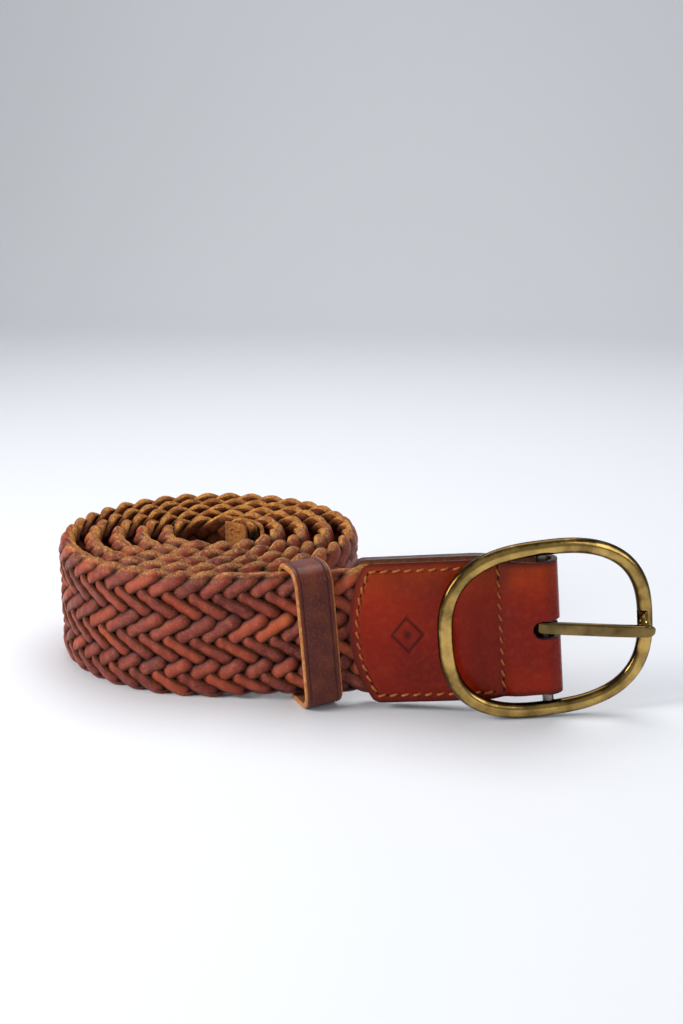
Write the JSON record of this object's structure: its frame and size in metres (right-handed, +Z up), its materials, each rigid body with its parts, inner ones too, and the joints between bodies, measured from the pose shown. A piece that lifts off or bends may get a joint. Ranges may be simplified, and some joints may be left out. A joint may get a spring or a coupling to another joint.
{
  "type": "leather belt",
  "caption": "Braided leather dress belt rolled up on its edge, with stitched chape, leather keeper and oval centre-bar buckle with swinging prong.",
  "frame": {"origin": "on the strap's lower edge, at the middle of its thickness, at the front of the coil; Z = 0 is the surface the rolled belt stands on", "axes": "+X along the straight end toward the buckle, +Z up across the strap's width, -Y the belt's outer (grain) side"},
  "size_m": [0.2188, 0.1219, 0.062],
  "materials": {
    "braid_leather": "reddish-brown veg-tanned strands with raw golden-brown cut edges, satin",
    "chape_leather": "glossy cognac with dark painted edges",
    "keeper_leather": "burgundy brown, creased along both edges, satin",
    "waxed_thread": "waxed orange-brown thread",
    "antique_brass": "polished with a light patina",
    "dark_steel": "dull grey"
  },
  "bodies": {
    "belt": {"braided_strap": "braid_leather", "chape_leather": "chape_leather", "front_edge_stitching": "waxed_thread", "back_edge_stitching": "waxed_thread", "front_cross_stitching": "waxed_thread", "back_cross_stitching": "waxed_thread", "tip_outer_leaf": "chape_leather", "tip_inner_leaf": "chape_leather", "tip_outer_stitching": "waxed_thread", "tip_inner_stitching": "waxed_thread"},
    "buckle": {"buckle_frame": "antique_brass", "centre_bar": "dark_steel"},
    "prong": {"prong": "antique_brass"},
    "keeper": {"keeper_loop": "keeper_leather", "keeper_staple": "dark_steel"}
  },
  "joints": [
    {"name": "buckle_pivot", "type": "hinge", "parent": "belt", "child": "buckle", "pos_m": [0.12578, 0, 0.03104], "axis": [-0.0828, 0, 0.9966], "range_deg": [0, 105]},
    {"name": "prong_pivot", "type": "hinge", "parent": "buckle", "child": "prong", "pos_m": [0.12578, 0, 0.03104], "axis": [0.0828, 0, -0.9966], "range_deg": [0, 80]},
    {"name": "keeper_slide", "type": "slide", "parent": "belt", "child": "keeper", "axis": [0.9966, 0, 0.0828], "range_m": [-0.01, 0.002]}
  ]
}
